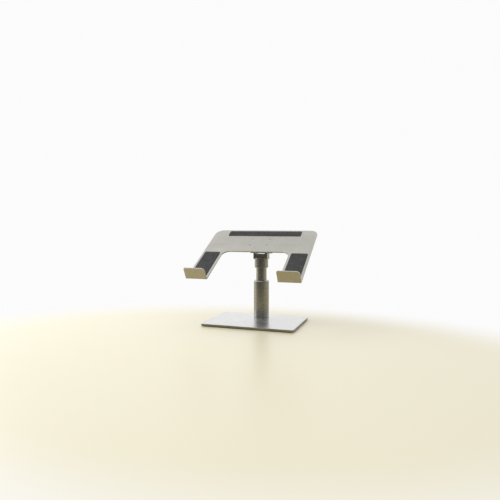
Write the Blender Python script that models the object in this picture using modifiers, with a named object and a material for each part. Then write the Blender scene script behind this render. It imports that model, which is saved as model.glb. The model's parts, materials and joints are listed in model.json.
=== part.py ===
"""A laptop stand: a flat steel base, a round telescoping column near its rear edge, and a friction
hinge that carries a folded U-shaped tray with two lips for the laptop's front edge.

Metres, +Z up. The origin is where the column's axis meets the desk; the front is -Y, and the
viewer's right is +X. The stand is modelled as it stands in use, tray tilted.
"""

import math

import bmesh
import bpy
from mathutils import Matrix, Vector

# Driving dimensions. Every other place and size below is worked out from these.
GAP = 0.0003  # kept between pieces that touch or fit into each other

BASE_WIDTH = 0.225
BASE_DEPTH = 0.160
BASE_THICKNESS = 0.005
BASE_CORNER = 0.006
BASE_EDGE = 0.0006
COLUMN_FROM_REAR = 0.036  # column axis to the base's rear edge
BASE_PAD_THICKNESS = 0.0012
BASE_PAD_INSET = 0.003

COLUMN_RADIUS = 0.019
COLUMN_WALL = 0.0025
COLUMN_HEIGHT = 0.0942  # base plate to the top of the lock collar
COLLAR_HEIGHT = 0.0197
COLLAR_SHOULDER = 0.004
COLLAR_TOP_WALL = 0.003
COLUMN_EDGE = 0.0004
FOOT_PLUG_HEIGHT = 0.012
SCREW_TO_PLUG_EDGE = 0.0062

SLEEVE_WALL = 0.0029
SLEEVE_DEPTH = 0.0120  # how far the thread sleeve reaches down into the column
SLEEVE_TOP_GAP = 0.0070  # sleeve top to collar top, room for the collet
COLLET_HEIGHT = 0.0034
COLLET_TAPER = 0.0016
COLLET_SLIT = 0.0020

KEY_WIDTH = 0.0038
KEY_DEPTH = 0.0012
BUSH_FLANGE = 0.006
BUSH_PLUG = 0.010
BUSH_BORE = 0.007
RISE_LEFT = 0.012  # how much higher the column can still go

TUBE_WALL = 0.002
NECK_SHOWN = 0.031  # inner tube between the collar and the hinge head
SOCKET_DEPTH = 0.018
SKIRT_WALL = 0.0037
SKIRT_HEIGHT = 0.026
SKIRT_EDGE = 0.001
GRUB_RADIUS = 0.0025
GRUB_HEIGHT = 0.009  # above the skirt's lower edge
GRUB_ANGLES = (50, 130)

PIVOT_ABOVE_SKIRT = 0.0472
EAR_RADIUS = 0.011
EAR_THICKNESS = 0.006
KNUCKLE_HALF_WIDTH = 0.0106
WASHER_THICKNESS = 0.0008
BOLT_RADIUS = 0.004
BOLT_HEAD_RADIUS = 0.0068
BOLT_HEAD_LENGTH = 0.004
NUT_LENGTH = 0.005
NUT_RADIUS = 0.0075
DISC_THICKNESS = 0.0009
DISC_DISH = 0.0004
DISC_RADIUS = 0.008
BOLT_OVERHANG = 0.0008
CAP_WALL = 0.0015

TILT = math.radians(29.2)
FLANGE_WIDTH = 0.060
FLANGE_DEPTH = 0.044
FLANGE_THICKNESS = 0.004
FLANGE_CORNER = 0.005
FLANGE_CLEARANCE = 0.0007  # hinge ears to the flange above them
WEB_DEPTH = 0.018
TRAY_SCREW_EDGE = 0.008  # screw centre to the flange's edges

TRAY_WIDTH = 0.272
TRAY_DEPTH = 0.222
ARM_WIDTH = 0.052
CROSS_DEPTH = 0.102
SHEET = 0.003
LIP_HEIGHT = 0.031
BEND_RADIUS = 0.004  # outside of the fold
LIP_CORNER_LEFT = 0.0035  # both lips are cut alike, tighter on their left
LIP_CORNER_RIGHT = 0.008
REAR_CORNER = 0.020
NECK_FILLET = 0.018
HINGE_FROM_REAR = 0.0596  # hinge axis to the tray's rear edge, along the sheet

PAD_THICKNESS = 0.001
PAD_MARGIN = 0.006
PAD_CORNER = 0.003
REAR_PAD_DEPTH = 0.022
REAR_PAD_SIDE = 0.040  # tray side to the rear pad's end

# Screw sizes: shank radius, head radius, head height, overall length, hexagon socket radius.
BASE_SCREW = (0.0025, 0.0046, 0.0026, 0.0135, 0.0017)
TRAY_SCREW = (0.0020, 0.0038, 0.0022, 0.0060, 0.0014)

# Heights of the fixed stack, from the desk up.
PLATE_BOTTOM = BASE_PAD_THICKNESS + GAP
PLATE_TOP = PLATE_BOTTOM + BASE_THICKNESS
COLUMN_BOTTOM = PLATE_TOP + GAP
COLLAR_TOP = PLATE_TOP + GAP + COLUMN_HEIGHT
COLLAR_BOTTOM = COLLAR_TOP - COLLAR_HEIGHT
TUBE_SEAT = COLLAR_BOTTOM - GAP  # top of the column tube
SLEEVE_BOTTOM = TUBE_SEAT - SLEEVE_DEPTH
SLEEVE_TOP = COLLAR_TOP - SLEEVE_TOP_GAP
BUSH_TOP = SLEEVE_BOTTOM - RISE_LEFT - 2 * GAP
SKIRT_BOTTOM = COLLAR_TOP + NECK_SHOWN
PIVOT_HEIGHT = SKIRT_BOTTOM + PIVOT_ABOVE_SKIRT

# Radii from the outside in.
BORE = COLUMN_RADIUS - COLUMN_WALL
SLEEVE_RADIUS = BORE - GAP
SLEEVE_BORE = SLEEVE_RADIUS - SLEEVE_WALL
TUBE_RADIUS = SLEEVE_BORE - GAP
TUBE_BORE = TUBE_RADIUS - TUBE_WALL
SKIRT_RADIUS = TUBE_RADIUS + GAP + SKIRT_WALL

# Hinge, from its middle out along X, and from its axis up to the tray.
EAR_INNER = KNUCKLE_HALF_WIDTH + WASHER_THICKNESS + 2 * GAP
EAR_OUTER = EAR_INNER + EAR_THICKNESS
DISC_STACK = DISC_THICKNESS + DISC_DISH + GAP
NUT_START = EAR_OUTER + GAP + 2 * DISC_STACK
BOLT_END = NUT_START + NUT_LENGTH + BOLT_OVERHANG
CAP_LENGTH = BOLT_END - EAR_OUTER + CAP_WALL
FLANGE_BOTTOM = EAR_RADIUS + FLANGE_CLEARANCE
TRAY_OFFSET = FLANGE_BOTTOM + FLANGE_THICKNESS + GAP
HINGE_FROM_LIP = TRAY_DEPTH - HINGE_FROM_REAR

# Side-to-side places on the tray.
ARM_INNER = TRAY_WIDTH / 2 - ARM_WIDTH
ARM_MIDDLE = TRAY_WIDTH / 2 - ARM_WIDTH / 2
CROSS_START = TRAY_DEPTH - CROSS_DEPTH

ROUND_STEPS = 48
SMALL_STEPS = 24
ARC_STEPS = 6
SHARP = math.radians(30)
OVERCUT = 0.002


def clear_scene():
    for item in list(bpy.data.objects):
        bpy.data.objects.remove(item, do_unlink=True)


def new_collection(name):
    made = bpy.data.collections.new(name)
    bpy.context.scene.collection.children.link(made)
    return made


def new_material(name, colour, roughness, metallic):
    material = bpy.data.materials.new(name)
    material.use_nodes = True
    shader = material.node_tree.nodes["Principled BSDF"]
    shader.inputs["Base Color"].default_value = (*colour, 1)
    shader.inputs["Roughness"].default_value = roughness
    shader.inputs["Metallic"].default_value = metallic
    return material


clear_scene()
STAND = new_collection("laptop_stand")
CUTTERS = new_collection("cutters")
SATIN = new_material("satin_aluminium", (0.72, 0.72, 0.71), 0.32, 1)
BRIGHT = new_material("bright_steel", (0.66, 0.66, 0.65), 0.16, 1)
ZINC = new_material("zinc_steel", (0.55, 0.56, 0.57), 0.35, 1)
NYLON = new_material("nylon", (0.06, 0.06, 0.065), 0.55, 0)
SILICONE = new_material("silicone", (0.035, 0.035, 0.037), 0.75, 0)


def add_object(name, mesh, material, place=(0, 0, 0), parent=None, turn=(0, 0, 0)):
    made = bpy.data.objects.new(name, mesh)
    made.location = place
    made.rotation_euler = turn
    made.parent = parent
    if material:
        mesh.materials.append(material)
        STAND.objects.link(made)
    else:
        made.hide_render = True
        made.display_type = "WIRE"
        CUTTERS.objects.link(made)
    mesh.shade_smooth()
    mesh.set_sharp_from_angle(angle=SHARP)
    return made


def add_pivot(name, place, turn=(0, 0, 0)):
    pivot = bpy.data.objects.new(name, None)
    pivot.location = place
    pivot.rotation_euler = turn
    STAND.objects.link(pivot)
    return pivot


def turned(name, profile, material, closed=True, steps=ROUND_STEPS, **place):
    """A profile of (radius, height) points, down its outer side, spun about the local Z axis."""
    mesh = bpy.data.meshes.new(name)
    count = len(profile)
    edges = [(i, (i + 1) % count) for i in range(count if closed else count - 1)]
    mesh.from_pydata([(radius, 0, height) for radius, height in profile], edges, [])
    made = add_object(name, mesh, material, **place)
    screw = made.modifiers.new("turn", "SCREW")
    screw.steps = steps
    screw.render_steps = steps
    screw.use_smooth_shade = True
    screw.use_merge_vertices = True
    screw.merge_threshold = 0.00001
    return made


def block(name, size, material, middle=(0, 0, 0), corner=0.0, edge=0.0, **place):
    """A box whose upright corners and whose top and bottom edges can be rounded."""
    bm = bmesh.new()
    bmesh.ops.create_cube(bm, size=1)
    bmesh.ops.scale(bm, vec=size, verts=bm.verts)
    if corner:
        upright = [e for e in bm.edges if abs(e.verts[0].co.z - e.verts[1].co.z) > size[2] / 2]
        bmesh.ops.bevel(bm, geom=upright, offset=corner, segments=ARC_STEPS, affect="EDGES", profile=0.5)
    if edge:
        level = [f for f in bm.faces if abs(f.normal.z) > 0.9]
        rims = list({e for f in level for e in f.edges})
        bmesh.ops.bevel(bm, geom=rims, offset=edge, segments=2, affect="EDGES", profile=0.5)
    bmesh.ops.translate(bm, vec=middle, verts=bm.verts)
    mesh = bpy.data.meshes.new(name)
    bm.to_mesh(mesh)
    bm.free()
    return add_object(name, mesh, material, **place)


def rod(name, radius, length, material=None, end_radius=None, steps=SMALL_STEPS, **place):
    """A cylinder, or a cone where end_radius is given, along the local Z axis from its origin up."""
    bm = bmesh.new()
    top = radius if end_radius is None else end_radius
    bmesh.ops.create_cone(
        bm, cap_ends=True, segments=steps, radius1=radius, radius2=top, depth=length
    )
    bmesh.ops.translate(bm, vec=(0, 0, length / 2), verts=bm.verts)
    mesh = bpy.data.meshes.new(name)
    bm.to_mesh(mesh)
    bm.free()
    return add_object(name, mesh, material, **place)


def combine(target, other, operation="DIFFERENCE"):
    modifier = target.modifiers.new(other.name, "BOOLEAN")
    modifier.operation = operation
    modifier.object = other
    modifier.solver = "EXACT"
    return target


def countersunk_mesh(name, screw, material):
    """One countersunk screw, head up, its top face at height 0, with a hexagon socket."""
    shank, head, head_height, length, socket = screw
    profile = [(0, 0), (head, 0), (head, -GAP), (shank, -head_height), (shank, -length), (0, -length)]
    whole = turned(name, profile, material, closed=False, steps=SMALL_STEPS)
    depth = head_height * 0.7
    key = rod(name + "_socket", socket, depth + OVERCUT, steps=6, place=(0, 0, -depth))
    combine(whole, key)
    bpy.context.view_layer.update()
    graph = bpy.context.evaluated_depsgraph_get()
    mesh = bpy.data.meshes.new_from_object(whole.evaluated_get(graph))
    for used in (whole, key):
        bpy.data.objects.remove(used, do_unlink=True)
    return mesh


def place_screw(name, mesh, place, turn=(0, 0, 0), parent=None):
    made = bpy.data.objects.new(name, mesh)
    made.location = place
    made.rotation_euler = turn
    made.parent = parent
    STAND.objects.link(made)


def screw_hole(name, screw, place, turn=(0, 0, 0), parent=None):
    """The cutter for a countersunk hole: the screw's outline grown by the gap, open past its head."""
    shank, head, head_height, length, _ = screw
    profile = [
        (0, OVERCUT),
        (head + GAP, OVERCUT),
        (head + GAP, -GAP),
        (shank + GAP, -head_height - GAP),
        (shank + GAP, -length - 2 * GAP),
        (0, -length - 2 * GAP),
    ]
    where = {"place": place, "turn": turn, "parent": parent}
    return turned(name, profile, None, closed=False, steps=SMALL_STEPS, **where)


def make_base():
    middle_y = COLUMN_FROM_REAR - BASE_DEPTH / 2
    pad = (BASE_WIDTH - 2 * BASE_PAD_INSET, BASE_DEPTH - 2 * BASE_PAD_INSET, BASE_PAD_THICKNESS)
    block(
        "base_pad", pad, SILICONE, corner=BASE_CORNER, place=(0, middle_y, BASE_PAD_THICKNESS / 2)
    )
    plate = block(
        "base_plate",
        (BASE_WIDTH, BASE_DEPTH, BASE_THICKNESS),
        BRIGHT,
        corner=BASE_CORNER,
        edge=BASE_EDGE,
        place=(0, middle_y, PLATE_BOTTOM + BASE_THICKNESS / 2),
    )
    plug_radius = BORE - GAP
    plug = turned(
        "foot_plug",
        [
            (0, COLUMN_BOTTOM + FOOT_PLUG_HEIGHT),
            (plug_radius - COLUMN_EDGE, COLUMN_BOTTOM + FOOT_PLUG_HEIGHT),
            (plug_radius, COLUMN_BOTTOM + FOOT_PLUG_HEIGHT - COLUMN_EDGE),
            (plug_radius, COLUMN_BOTTOM),
            (0, COLUMN_BOTTOM),
        ],
        ZINC,
        closed=False,
    )
    screw_mesh = countersunk_mesh("base_screw", BASE_SCREW, ZINC)
    circle = plug_radius - SCREW_TO_PLUG_EDGE
    for number in range(3):
        angle = math.radians(90 + 120 * number)
        place = (circle * math.cos(angle), circle * math.sin(angle), PLATE_BOTTOM + GAP)
        upside_down = (math.pi, 0, 0)
        place_screw(f"base_screw_{number + 1}", screw_mesh, place, upside_down)
        hole = screw_hole(f"base_screw_hole_{number + 1}", BASE_SCREW, place, upside_down)
        combine(plate, hole)
        combine(plug, hole)


def make_column():
    tube = turned(
        "column_tube",
        [
            (COLUMN_RADIUS, TUBE_SEAT),
            (COLUMN_RADIUS, COLUMN_BOTTOM + COLUMN_EDGE),
            (COLUMN_RADIUS - COLUMN_EDGE, COLUMN_BOTTOM),
            (BORE, COLUMN_BOTTOM),
            (BORE, TUBE_SEAT),
        ],
        SATIN,
    )
    groove_size = (KEY_WIDTH + 2 * GAP, 2 * KEY_DEPTH, COLUMN_HEIGHT)
    groove_middle = (0, BORE, (COLUMN_BOTTOM + TUBE_SEAT) / 2)
    combine(tube, block("key_groove", groove_size, None, middle=groove_middle))
    turned(
        "collar_sleeve",
        [
            (SLEEVE_RADIUS - COLUMN_EDGE, SLEEVE_TOP),
            (SLEEVE_RADIUS, SLEEVE_TOP - COLUMN_EDGE),
            (SLEEVE_RADIUS, SLEEVE_BOTTOM),
            (SLEEVE_BORE, SLEEVE_BOTTOM),
            (SLEEVE_BORE, SLEEVE_TOP),
        ],
        ZINC,
    )
    collet_bottom = SLEEVE_TOP + GAP
    collet_top = collet_bottom + COLLET_HEIGHT
    collet = turned(
        "clamp_collet",
        [
            (SLEEVE_RADIUS - COLLET_TAPER, collet_top),
            (SLEEVE_RADIUS, collet_bottom),
            (SLEEVE_BORE, collet_bottom),
            (SLEEVE_BORE, collet_top),
        ],
        NYLON,
    )
    slit_size = (COLLET_SLIT, 2 * SLEEVE_RADIUS, 4 * COLLET_HEIGHT)
    slit_middle = (0, SLEEVE_RADIUS, collet_top)
    combine(collet, block("collet_slit", slit_size, None, middle=slit_middle))
    shoulder = [
        (
            COLUMN_RADIUS - COLLAR_SHOULDER * (1 - math.sin(angle)),
            COLLAR_TOP - COLLAR_SHOULDER * (1 - math.cos(angle)),
        )
        for angle in (math.radians(90 * i / ARC_STEPS) for i in range(ARC_STEPS + 1))
    ]
    turned(
        "lock_collar",
        shoulder
        + [
            (COLUMN_RADIUS, COLLAR_BOTTOM + COLUMN_EDGE),
            (COLUMN_RADIUS - COLUMN_EDGE, COLLAR_BOTTOM),
            (BORE, COLLAR_BOTTOM),
            (BORE, collet_bottom),
            (BORE - COLLET_TAPER, COLLAR_TOP - COLLAR_TOP_WALL),
            (SLEEVE_BORE, COLLAR_TOP - COLLAR_TOP_WALL),
            (SLEEVE_BORE, COLLAR_TOP),
        ],
        SATIN,
    )


def make_riser():
    """The inner tube with its guide bush, and the hinge head clamped on its upper end."""
    bush = turned(
        "slide_bush",
        [
            (TUBE_BORE - GAP, BUSH_TOP + BUSH_PLUG),
            (TUBE_BORE - GAP, BUSH_TOP),
            (SLEEVE_RADIUS, BUSH_TOP),
            (SLEEVE_RADIUS, BUSH_TOP - BUSH_FLANGE),
            (BUSH_BORE, BUSH_TOP - BUSH_FLANGE),
            (BUSH_BORE, BUSH_TOP + BUSH_PLUG),
        ],
        NYLON,
    )
    key_end = BORE + KEY_DEPTH - GAP
    key_root = (TUBE_RADIUS + SLEEVE_RADIUS) / 2
    key_size = (KEY_WIDTH, key_end - key_root, BUSH_FLANGE)
    key_middle = (0, (key_end + key_root) / 2, BUSH_TOP - BUSH_FLANGE / 2)
    combine(bush, block("bush_key", key_size, None, middle=key_middle), "UNION")
    turned(
        "inner_tube",
        [
            (TUBE_RADIUS, SKIRT_BOTTOM + SOCKET_DEPTH - GAP),
            (TUBE_RADIUS, BUSH_TOP + GAP),
            (TUBE_BORE, BUSH_TOP + GAP),
            (TUBE_BORE, SKIRT_BOTTOM + SOCKET_DEPTH - GAP),
        ],
        SATIN,
    )
    make_head()


def make_head():
    """Round skirt over the tube, running up into two ears; the slot between them takes the knuckle."""
    pivot = add_pivot("riser_head", (0, 0, PIVOT_HEIGHT))
    skirt_low = -PIVOT_ABOVE_SKIRT
    skirt_high = skirt_low + SKIRT_HEIGHT
    head = turned(
        "hinge_head",
        [
            (0, skirt_high),
            (SKIRT_RADIUS - SKIRT_EDGE, skirt_high),
            (SKIRT_RADIUS, skirt_high - SKIRT_EDGE),
            (SKIRT_RADIUS, skirt_low + SKIRT_EDGE),
            (SKIRT_RADIUS - SKIRT_EDGE, skirt_low),
            (0, skirt_low),
        ],
        SATIN,
        closed=False,
        parent=pivot,
    )
    post_low = skirt_low + SOCKET_DEPTH + SKIRT_WALL
    post = (2 * EAR_OUTER, 2 * EAR_RADIUS, -post_low)
    combine(head, block("head_post", post, None, middle=(0, 0, post_low / 2), parent=pivot), "UNION")
    across = (0, math.pi / 2, 0)
    eye = rod(
        "head_eye",
        EAR_RADIUS,
        2 * EAR_OUTER,
        steps=ROUND_STEPS,
        place=(-EAR_OUTER, 0, 0),
        turn=across,
        parent=pivot,
    )
    combine(head, eye, "UNION")
    slot_low = -EAR_RADIUS - 2 * FLANGE_CLEARANCE
    slot = (2 * EAR_INNER, 4 * EAR_RADIUS, 2 * EAR_RADIUS - slot_low)
    slot_middle = (0, 0, slot_low + slot[2] / 2)
    combine(head, block("head_slot", slot, None, middle=slot_middle, parent=pivot))
    socket = rod(
        "head_socket",
        TUBE_RADIUS + GAP,
        SOCKET_DEPTH + OVERCUT,
        steps=ROUND_STEPS,
        place=(0, 0, skirt_low - OVERCUT),
        parent=pivot,
    )
    combine(head, socket)
    bolt_hole = rod(
        "head_bolt_hole",
        BOLT_RADIUS + GAP,
        4 * EAR_OUTER,
        place=(-2 * EAR_OUTER, 0, 0),
        turn=across,
        parent=pivot,
    )
    combine(head, bolt_hole)
    for number, degrees in enumerate(GRUB_ANGLES, start=1):
        make_grub_screw(number, math.radians(degrees), skirt_low + GRUB_HEIGHT, head, pivot)
    make_hinge_hardware(pivot)


def make_grub_screw(number, angle, height, head, pivot):
    outward = Vector((math.cos(angle), math.sin(angle), 0))
    start = outward * (TUBE_RADIUS + GAP) + Vector((0, 0, height))
    turn = (0, math.pi / 2, angle)
    length = SKIRT_WALL - 2 * GAP
    grub = rod(
        f"grub_screw_{number}", GRUB_RADIUS, length, ZINC, place=start, turn=turn, parent=pivot
    )
    key = rod(
        f"grub_socket_{number}",
        GRUB_RADIUS / 2,
        length,
        steps=6,
        place=start + outward * (length / 2),
        turn=turn,
        parent=pivot,
    )
    combine(grub, key)
    bore = rod(
        f"grub_bore_{number}",
        GRUB_RADIUS + GAP,
        2 * SKIRT_WALL,
        place=start - outward * SKIRT_WALL / 2,
        turn=turn,
        parent=pivot,
    )
    combine(head, bore)


def make_hinge_hardware(pivot):
    """Bolt, friction washers, dished spring washers, nut and end caps, all along the hinge axis."""
    across = (0, math.pi / 2, 0)
    along = {"parent": pivot, "turn": across}
    bolt_low = -EAR_OUTER - GAP
    bolt = turned(
        "hinge_bolt",
        [
            (0, BOLT_END),
            (BOLT_RADIUS - COLUMN_EDGE, BOLT_END),
            (BOLT_RADIUS, BOLT_END - COLUMN_EDGE),
            (BOLT_RADIUS, bolt_low),
            (BOLT_HEAD_RADIUS, bolt_low),
            (BOLT_HEAD_RADIUS, bolt_low - BOLT_HEAD_LENGTH),
            (0, bolt_low - BOLT_HEAD_LENGTH),
        ],
        ZINC,
        closed=False,
        steps=SMALL_STEPS,
        **along,
    )
    key = rod(
        "bolt_socket",
        BOLT_RADIUS * 0.6,
        BOLT_HEAD_LENGTH,
        steps=6,
        place=(bolt_low - 1.4 * BOLT_HEAD_LENGTH, 0, 0),
        **along,
    )
    combine(bolt, key)
    nut = rod(
        "hinge_nut", NUT_RADIUS, NUT_LENGTH, ZINC, steps=6, place=(NUT_START, 0, 0), **along
    )
    nut_hole = rod(
        "nut_hole",
        BOLT_RADIUS + GAP,
        2 * NUT_LENGTH,
        place=(NUT_START - NUT_LENGTH / 2, 0, 0),
        **along,
    )
    combine(nut, nut_hole)
    ring = BOLT_RADIUS + GAP
    for number in range(2):
        low = EAR_OUTER + GAP + number * DISC_STACK
        turned(
            f"disc_spring_{number + 1}",
            [
                (DISC_RADIUS, low + DISC_THICKNESS),
                (DISC_RADIUS, low),
                (ring, low + DISC_DISH),
                (ring, low + DISC_DISH + DISC_THICKNESS),
            ],
            ZINC,
            steps=SMALL_STEPS,
            **along,
        )
    for side, sign in (("left", -1), ("right", 1)):
        low = min(sign * (EAR_INNER - GAP), sign * (EAR_INNER - GAP - WASHER_THICKNESS))
        turned(
            f"friction_washer_{side}",
            [
                (EAR_RADIUS - GAP, low + WASHER_THICKNESS),
                (EAR_RADIUS - GAP, low),
                (ring, low),
                (ring, low + WASHER_THICKNESS),
            ],
            NYLON,
            steps=SMALL_STEPS,
            **along,
        )
        turned(
            f"hinge_cap_{side}",
            [
                (0, CAP_LENGTH),
                (EAR_RADIUS - CAP_WALL, CAP_LENGTH),
                (EAR_RADIUS, CAP_LENGTH - CAP_WALL),
                (EAR_RADIUS, GAP),
                (EAR_RADIUS - CAP_WALL, GAP),
                (EAR_RADIUS - CAP_WALL, CAP_LENGTH - CAP_WALL + GAP),
                (0, CAP_LENGTH - CAP_WALL + GAP),
            ],
            NYLON,
            closed=False,
            place=(sign * EAR_OUTER, 0, 0),
            turn=(0, sign * math.pi / 2, 0),
            parent=pivot,
        )


def rounded_outline(corners):
    """(x, y, radius) corners, each a right angle, as points with each corner drawn as an arc."""
    points = []
    for i, (x, y, radius) in enumerate(corners):
        corner = Vector((x, y))
        to_last = (Vector(corners[i - 1][:2]) - corner).normalized()
        to_next = (Vector(corners[(i + 1) % len(corners)][:2]) - corner).normalized()
        middle = corner + radius * (to_last + to_next)
        for step in range(ARC_STEPS + 1):
            angle = math.pi / 2 * step / ARC_STEPS
            points.append(middle - radius * (to_next * math.cos(angle) + to_last * math.sin(angle)))
    return points


def flat_blank(name, outline, thickness):
    """A sheet cut to the outline, as a mesh whose lower face is at height 0."""
    curve = bpy.data.curves.new(name, "CURVE")
    curve.dimensions = "2D"
    curve.fill_mode = "BOTH"
    curve.extrude = thickness / 2
    spline = curve.splines.new("POLY")
    spline.points.add(len(outline) - 1)
    for point, (x, y) in zip(spline.points, outline):
        point.co = (x, y, 0, 1)
    spline.use_cyclic_u = True
    drawn = bpy.data.objects.new(name, curve)
    CUTTERS.objects.link(drawn)
    bpy.context.view_layer.update()
    graph = bpy.context.evaluated_depsgraph_get()
    mesh = bpy.data.meshes.new_from_object(drawn.evaluated_get(graph))
    bpy.data.objects.remove(drawn, do_unlink=True)
    mesh.name = name
    bm = bmesh.new()
    bm.from_mesh(mesh)
    bmesh.ops.remove_doubles(bm, verts=bm.verts, dist=0.00001)
    bmesh.ops.translate(bm, vec=(0, 0, thickness / 2), verts=bm.verts)
    bmesh.ops.recalc_face_normals(bm, faces=bm.faces)
    bm.to_mesh(mesh)
    bm.free()
    return mesh


def fold_lips(mesh):
    """Folds the sheet up at its front: what lies ahead of the bend becomes the two lips."""
    bend_length = BEND_RADIUS * math.pi / 2
    bm = bmesh.new()
    bm.from_mesh(mesh)
    for step in range(ARC_STEPS + 1):
        line = BEND_RADIUS - bend_length * step / ARC_STEPS
        everything = bm.verts[:] + bm.edges[:] + bm.faces[:]
        bmesh.ops.bisect_plane(bm, geom=everything, plane_co=(0, line, 0), plane_no=(0, 1, 0))
    for vert in bm.verts:
        along, up = vert.co.y, vert.co.z
        angle = min(max((BEND_RADIUS - along) / bend_length, 0), 1) * math.pi / 2
        past = max(BEND_RADIUS - bend_length - along, 0)
        ahead = max(along - BEND_RADIUS, 0)
        reach = BEND_RADIUS - up
        vert.co.y = BEND_RADIUS - reach * math.sin(angle) + ahead
        vert.co.z = BEND_RADIUS - reach * math.cos(angle) + past
    bmesh.ops.recalc_face_normals(bm, faces=bm.faces)
    bm.to_mesh(mesh)
    bm.free()


def make_tray():
    """Local +Y runs up the sheet from the lips and +Z is square to it; the origin is the hinge axis."""
    pivot = add_pivot("tray_pivot", (0, 0, PIVOT_HEIGHT), (TILT, 0, 0))
    lip_end = BEND_RADIUS - BEND_RADIUS * math.pi / 2 - (LIP_HEIGHT - BEND_RADIUS)
    half = TRAY_WIDTH / 2
    outline = rounded_outline(
        [
            (-half, lip_end, LIP_CORNER_LEFT),
            (-ARM_INNER, lip_end, LIP_CORNER_RIGHT),
            (-ARM_INNER, CROSS_START, NECK_FILLET),
            (ARM_INNER, CROSS_START, NECK_FILLET),
            (ARM_INNER, lip_end, LIP_CORNER_LEFT),
            (half, lip_end, LIP_CORNER_RIGHT),
            (half, TRAY_DEPTH, REAR_CORNER),
            (-half, TRAY_DEPTH, REAR_CORNER),
        ]
    )
    mesh = flat_blank("tray_plate", outline, SHEET)
    fold_lips(mesh)
    # From sheet coordinates, measured from the lips' front face, to the hinge axis's own.
    mesh.transform(Matrix.Translation((0, -HINGE_FROM_LIP, TRAY_OFFSET)))
    tray = add_object("tray_plate", mesh, SATIN, parent=pivot)
    knuckle = make_knuckle(pivot)
    screw_mesh = countersunk_mesh("tray_screw", TRAY_SCREW, ZINC)
    spots = [
        (x * (FLANGE_WIDTH / 2 - TRAY_SCREW_EDGE), y * (FLANGE_DEPTH / 2 - TRAY_SCREW_EDGE))
        for x in (-1, 1)
        for y in (-1, 1)
    ]
    for number, (x, y) in enumerate(spots, start=1):
        place = (x, y, TRAY_OFFSET + SHEET - GAP)
        place_screw(f"tray_screw_{number}", screw_mesh, place, parent=pivot)
        hole = screw_hole(f"tray_screw_hole_{number}", TRAY_SCREW, place, parent=pivot)
        combine(tray, hole)
        combine(knuckle, hole)
    make_tray_pads(pivot)


def make_knuckle(pivot):
    """The hinge's moving half: a screw-on flange, a web and the barrel between the ears."""
    flange_middle = (0, 0, FLANGE_BOTTOM + FLANGE_THICKNESS / 2)
    knuckle = block(
        "tilt_knuckle",
        (FLANGE_WIDTH, FLANGE_DEPTH, FLANGE_THICKNESS),
        SATIN,
        middle=flange_middle,
        corner=FLANGE_CORNER,
        parent=pivot,
    )
    web_top = FLANGE_BOTTOM + FLANGE_THICKNESS / 2
    web = (2 * KNUCKLE_HALF_WIDTH, WEB_DEPTH, web_top)
    combine(knuckle, block("knuckle_web", web, None, middle=(0, 0, web_top / 2), parent=pivot), "UNION")
    across = (0, math.pi / 2, 0)
    barrel = rod(
        "knuckle_barrel",
        EAR_RADIUS,
        2 * KNUCKLE_HALF_WIDTH,
        steps=ROUND_STEPS,
        place=(-KNUCKLE_HALF_WIDTH, 0, 0),
        turn=across,
        parent=pivot,
    )
    combine(knuckle, barrel, "UNION")
    bore = rod(
        "knuckle_bore",
        BOLT_RADIUS + GAP,
        4 * KNUCKLE_HALF_WIDTH,
        place=(-2 * KNUCKLE_HALF_WIDTH, 0, 0),
        turn=across,
        parent=pivot,
    )
    return combine(knuckle, bore)


def make_tray_pads(pivot):
    """Silicone sheets stuck on the arms, on the lips' inner faces and along the rear edge."""
    above = TRAY_OFFSET + SHEET + GAP + PAD_THICKNESS / 2
    pad_width = ARM_WIDTH - 2 * PAD_MARGIN
    start = BEND_RADIUS + PAD_MARGIN
    end = CROSS_START - PAD_MARGIN
    arm_size = (pad_width, end - start, PAD_THICKNESS)
    lip_low = BEND_RADIUS + PAD_CORNER / 2
    lip_high = LIP_HEIGHT - PAD_CORNER
    lip_size = (pad_width, lip_high - lip_low, PAD_THICKNESS)
    lip_y = SHEET + GAP + PAD_THICKNESS / 2 - HINGE_FROM_LIP
    lip_z = TRAY_OFFSET + (lip_high + lip_low) / 2
    for side, sign in (("left", -1), ("right", 1)):
        block(
            f"arm_pad_{side}",
            arm_size,
            SILICONE,
            corner=PAD_CORNER,
            place=(sign * ARM_MIDDLE, (start + end) / 2 - HINGE_FROM_LIP, above),
            parent=pivot,
        )
        block(
            f"lip_pad_{side}",
            lip_size,
            SILICONE,
            corner=PAD_CORNER,
            place=(sign * ARM_MIDDLE, lip_y, lip_z),
            turn=(math.pi / 2, 0, 0),
            parent=pivot,
        )
    rear_y = HINGE_FROM_REAR - PAD_MARGIN - REAR_PAD_DEPTH / 2
    rear_size = (TRAY_WIDTH - 2 * REAR_PAD_SIDE, REAR_PAD_DEPTH, PAD_THICKNESS)
    block(
        "rear_pad", rear_size, SILICONE, corner=PAD_CORNER, place=(0, rear_y, above), parent=pivot
    )


make_base()
make_column()
make_riser()
make_tray()
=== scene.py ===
# %% [markdown]
# # A laptop stand with a twist-lock column and a tilting tray
#
# The stand is a flat steel base, a round telescoping column near the base's rear edge, a friction
# hinge on top and one folded aluminium sheet that holds the laptop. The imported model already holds
# every piece in its place and every joint. This lesson gives each visible piece its fine shape and
# its finish: soft edges, turned and folded surfaces, ribbed silicone and four kinds of metal.

# %% Load the frame
import json
import math

import bmesh
import bpy
from mathutils import Matrix, Vector


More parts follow.
